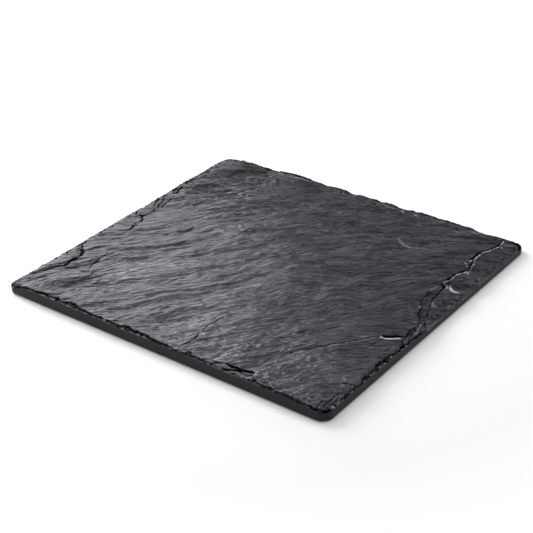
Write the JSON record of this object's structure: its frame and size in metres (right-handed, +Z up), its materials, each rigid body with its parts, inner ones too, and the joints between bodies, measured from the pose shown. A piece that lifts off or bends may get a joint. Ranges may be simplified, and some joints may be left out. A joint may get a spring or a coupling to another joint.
{
  "type": "serving tray",
  "caption": "Flat melamine serving tray with a split-slate top, flaked edges, a plain skirt and a hollow underside, standing on stick-on rubber bumpers.",
  "frame": {"origin": "on the ground, under the middle of the tray's outline", "axes": "+X along the longer side, +Y along the shorter side away from the picture's front-left edge, +Z up"},
  "size_m": [0.354, 0.325, 0.0142],
  "materials": {
    "melamine": "satin charcoal moulding with a split-slate texture on top, plain matt skirt",
    "foot_rubber": "matt moulded rubber",
    "adhesive": "clear acrylic adhesive film, slightly yellow"
  },
  "bodies": {
    "root": {"tray_body": "melamine", "foot_front_left": "foot_rubber", "foot_front_right": "foot_rubber", "foot_back_left": "foot_rubber", "foot_back_right": "foot_rubber", "adhesive_front_left": "adhesive", "adhesive_front_right": "adhesive", "adhesive_back_left": "adhesive", "adhesive_back_right": "adhesive"}
  },
  "joints": []
}
